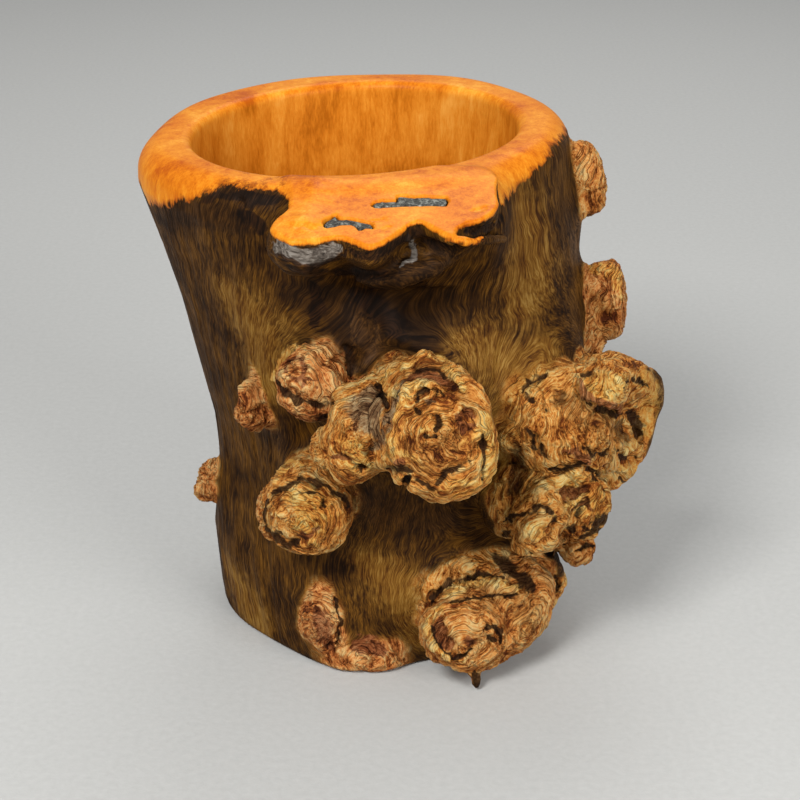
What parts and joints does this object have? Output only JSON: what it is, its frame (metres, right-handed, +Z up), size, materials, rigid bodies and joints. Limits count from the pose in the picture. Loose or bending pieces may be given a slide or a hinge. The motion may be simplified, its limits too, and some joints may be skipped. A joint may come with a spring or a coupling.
{
  "type": "root wood brush pot",
  "caption": "Brush pot hollowed from a natural root stump, with knobbly burls outside, a smooth sloping rim with a broad lip, and a glued-in bottom disc.",
  "frame": {"origin": "on the bore's axis, at the surface that the pot stands on", "axes": "+Z up along the bore; -Y towards the front, where the lip and the largest burl are; +X to the right seen from the front"},
  "size_m": [0.1424, 0.1549, 0.1399],
  "materials": {
    "root_wood": "satin",
    "disc_wood": "satin",
    "filler": "matte"
  },
  "bodies": {
    "root": {"root_body": "root_wood", "base_disc": "disc_wood", "rim_crack_filler": "filler", "lip_crack_filler": "filler"}
  },
  "joints": []
}
